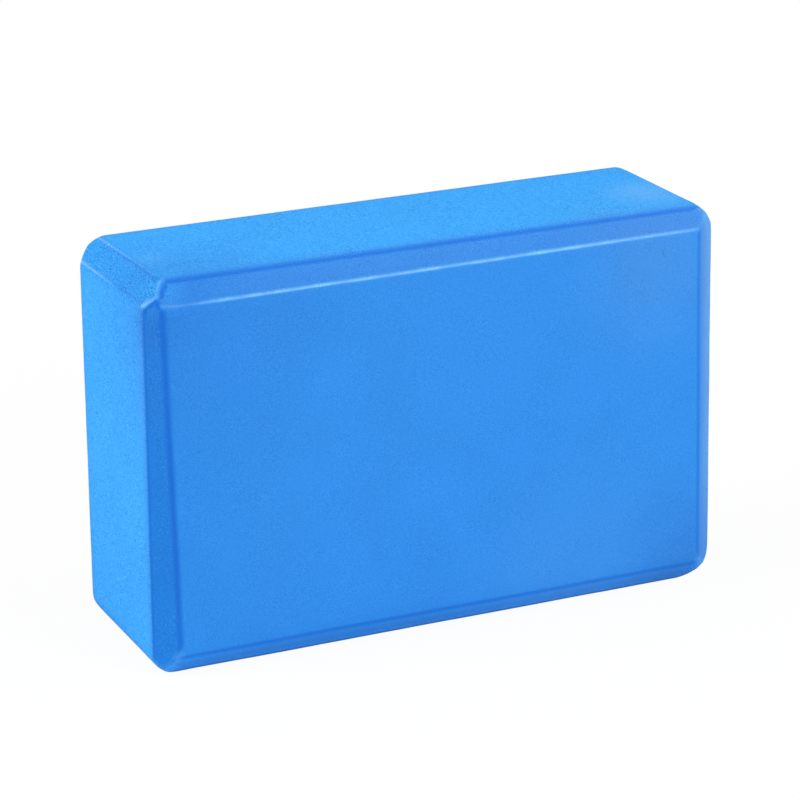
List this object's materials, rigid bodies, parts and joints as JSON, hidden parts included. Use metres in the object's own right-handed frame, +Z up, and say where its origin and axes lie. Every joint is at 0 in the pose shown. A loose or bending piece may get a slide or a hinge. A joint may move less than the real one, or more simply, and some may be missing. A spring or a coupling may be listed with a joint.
{
  "type": "foam exercise block",
  "caption": "Rectangular block of closed-cell foam with bevelled edges, used to raise or support the hands or body during stretching exercise.",
  "frame": {"origin": "centre of the block's footprint, on the surface that it stands on", "axes": "+X along the length, +Y through the thickness from the front broad face to the back one, +Z up"},
  "size_m": [0.23, 0.076, 0.15],
  "materials": {
    "foam": "fine-celled closed-cell EVA foam, satin"
  },
  "bodies": {
    "root": {"foam_block": "foam"}
  },
  "joints": []
}
